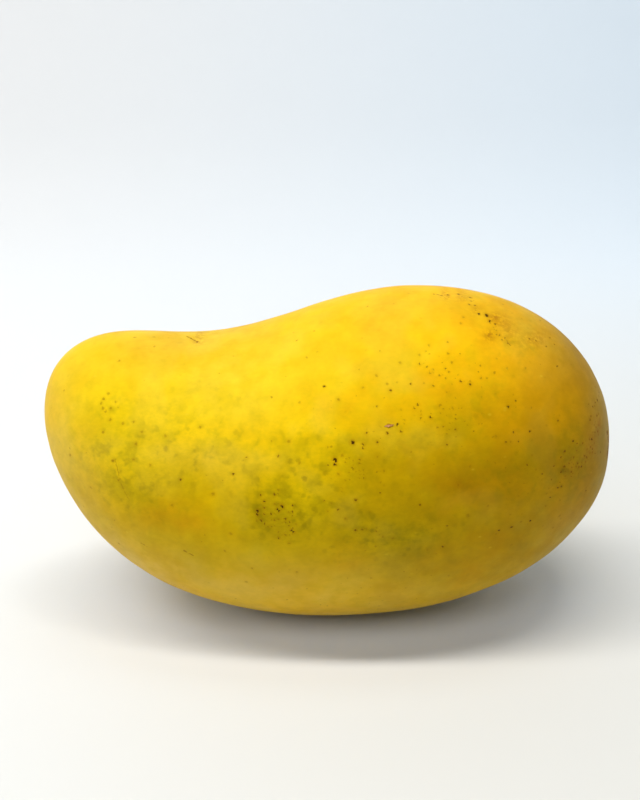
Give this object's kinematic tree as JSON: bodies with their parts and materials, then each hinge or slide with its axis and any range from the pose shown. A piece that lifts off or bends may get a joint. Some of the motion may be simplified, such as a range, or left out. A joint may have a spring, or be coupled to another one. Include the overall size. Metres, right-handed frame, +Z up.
{
  "type": "mango",
  "caption": "Whole ripe oblong yellow mango with a hollowed back, a blunt beaked apex, flattened cheeks and a small woody stem scar, resting on its belly edge.",
  "frame": {"origin": "middle of the fruit's box at the surface that it rests on", "axes": "+X along the fruit from the apex to the stem end, +Y across the flattened cheeks, +Z up from the belly to the hollow back"},
  "size_m": [0.1304, 0.0642, 0.0776],
  "materials": {
    "skin": "satin, waxy fruit skin with fine lenticel dots"
  },
  "bodies": {
    "root": {"mango": "skin"}
  },
  "joints": []
}
